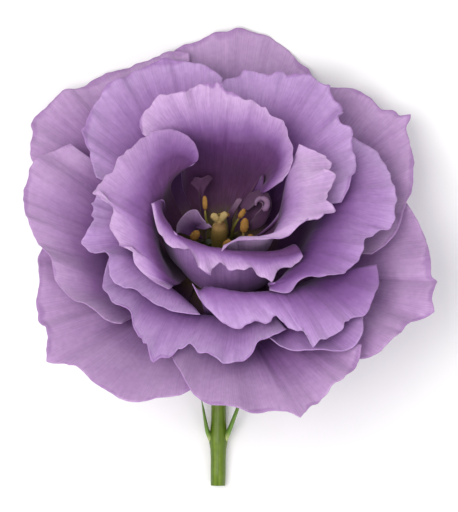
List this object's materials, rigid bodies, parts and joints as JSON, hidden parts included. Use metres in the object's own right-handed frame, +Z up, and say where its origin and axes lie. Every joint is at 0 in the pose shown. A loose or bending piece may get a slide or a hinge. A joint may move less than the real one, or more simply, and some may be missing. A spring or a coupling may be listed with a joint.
{
  "type": "lisianthus flower",
  "caption": "A full lilac lisianthus bloom with waved petals in layers round a dark throat with pistil and stamens, on a short cut green stem, lying on its back.",
  "frame": {"origin": "On the surface the bloom lies on, at the middle of the bounding box's bottom face.", "axes": "+Z up from the surface; the stem runs along -Y and the bloom faces up, leaning 30 degrees towards +Y; +X is to the right as seen from above with the stem towards the viewer."},
  "size_m": [0.0904, 0.1006, 0.05],
  "materials": {
    "outer_petal": "soft matte petal",
    "middle_petal": "soft matte petal",
    "inner_petal": "soft matte petal",
    "petaloid": "soft matte petal",
    "pistil": "soft matte",
    "stamen": "soft matte",
    "stem": "soft matte"
  },
  "bodies": {
    "root": {"petal_outer_top": "outer_petal", "petal_outer_lower_right": "outer_petal", "petal_outer_lower_left": "outer_petal", "petal_outer_upper_left": "outer_petal", "petal_outer_upper_right": "outer_petal", "petal_outer_bottom": "outer_petal", "petal_outer_left": "outer_petal", "petal_middle_shaded": "middle_petal", "petal_middle_lower_left": "middle_petal", "petal_middle_upper_left": "middle_petal", "petal_middle_left": "middle_petal", "petal_middle_front": "middle_petal", "petal_middle_right": "middle_petal", "petal_middle_upper_right": "middle_petal", "petal_inner_back": "inner_petal", "petal_inner_left": "inner_petal", "petal_inner_front": "inner_petal", "petal_inner_right": "inner_petal", "petaloid_left": "petaloid", "petaloid_curled": "petaloid", "petaloid_right": "petaloid", "petaloid_strip": "petaloid", "pistil": "pistil", "stamen_1": "stamen", "stamen_2": "stamen", "stamen_3": "stamen", "stamen_4": "stamen", "stamen_5": "stamen", "stamen_6": "stamen", "stamen_7": "stamen", "stem": "stem"}
  },
  "joints": []
}
